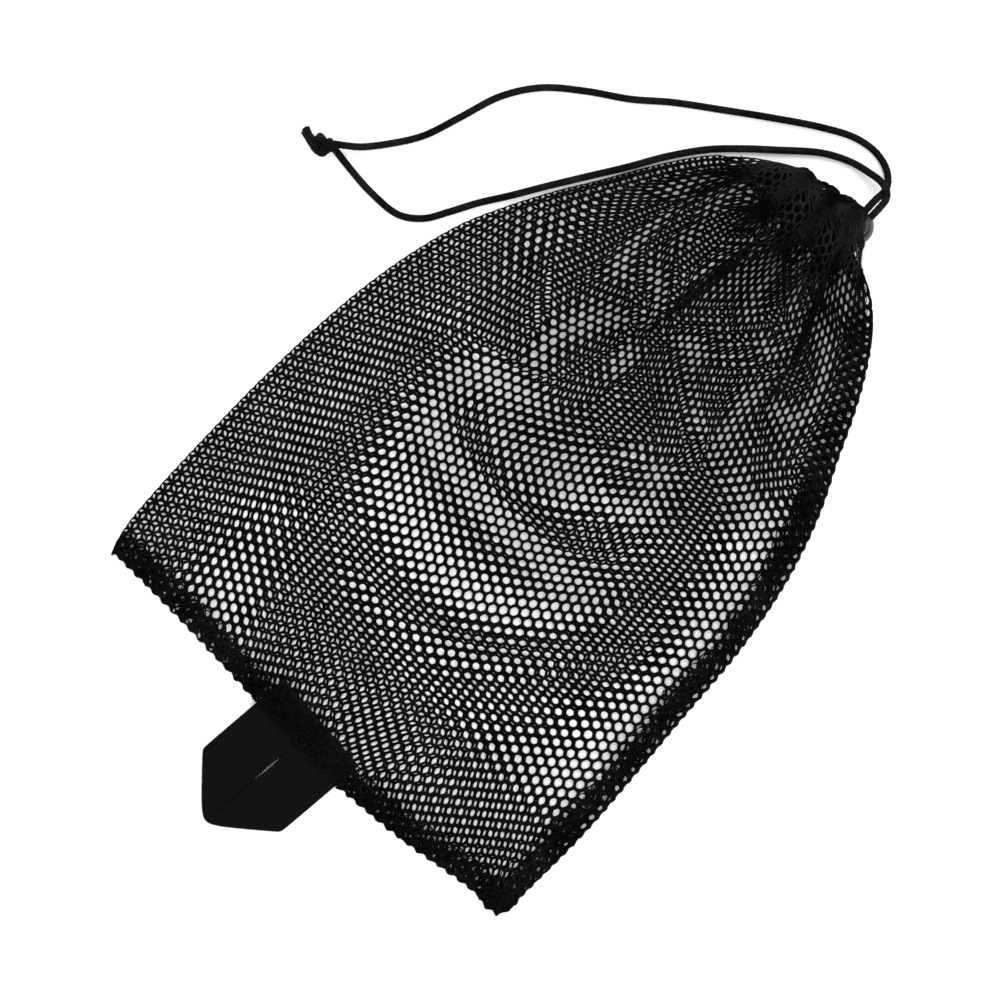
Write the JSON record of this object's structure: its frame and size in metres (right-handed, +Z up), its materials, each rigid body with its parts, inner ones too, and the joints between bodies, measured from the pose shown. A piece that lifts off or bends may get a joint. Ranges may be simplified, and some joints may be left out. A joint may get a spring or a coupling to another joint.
{
  "type": "mesh ball bag",
  "caption": "Flat-lying hexagonal mesh drawstring bag with gathered mouth, round drawcord, ball cord lock, end knot and folded webbing loop on the bottom seam.",
  "frame": {"origin": "under the middle of the bag with its webbing loop and cord lock, on the surface it lies on; the free cord is left out of that middle", "axes": "+X along the bottom seam towards the side seam, +Y from the bottom seam to the mouth, +Z up from the surface"},
  "size_m": [0.3008, 0.4143, 0.027],
  "materials": {
    "net": "black polyester hexagonal mesh net, matt with a slight sheen on the yarns",
    "seam": "black net in several layers, gathered or turned in",
    "thread": "black polyester sewing thread, slight sheen",
    "cord": "black round braided polyester cord",
    "webbing": "black ribbed woven webbing",
    "lock_plastic": "dark grey moulded plastic, satin",
    "spring_steel": "drawn spring wire"
  },
  "bodies": {
    "bag": {"net_back_panel": "net", "net_front_panel": "net", "hem_outer": "seam", "hem_inner": "seam", "side_seam_allowance": "seam", "bottom_seam_allowance": "seam", "side_seam_thread": "thread", "bottom_seam_thread": "thread", "hem_thread": "thread", "tack_thread_left": "thread", "tack_thread_right": "thread", "webbing_end_left": "webbing", "webbing_end_right": "webbing", "drawcord_channel": "cord", "drawcord_outer_run": "cord", "drawcord_inner_run": "cord", "cord_knot": "cord", "cord_tail_1": "cord", "cord_tail_2": "cord"},
    "loop": {"webbing_loop": "webbing"},
    "lock": {"lock_barrel": "lock_plastic", "lock_spring": "spring_steel"},
    "plunger": {"lock_plunger": "lock_plastic"}
  },
  "joints": [
    {"name": "loop_swing", "type": "hinge", "parent": "bag", "child": "loop", "pos_m": [0.00188, -0.14721, 0.00285], "axis": [-1, 0, 0], "range_deg": [-120, 135]},
    {"name": "lock_slide", "type": "slide", "parent": "bag", "child": "lock", "axis": [0, 1, 0], "range_m": [0, 0.006]},
    {"name": "plunger_press", "type": "slide", "parent": "lock", "child": "plunger", "axis": [0, 0, -1], "range_m": [0, 0.003], "stiffness_N_per_m": 600, "springref_m": -0.003, "deforming": ["lock_spring"]}
  ]
}
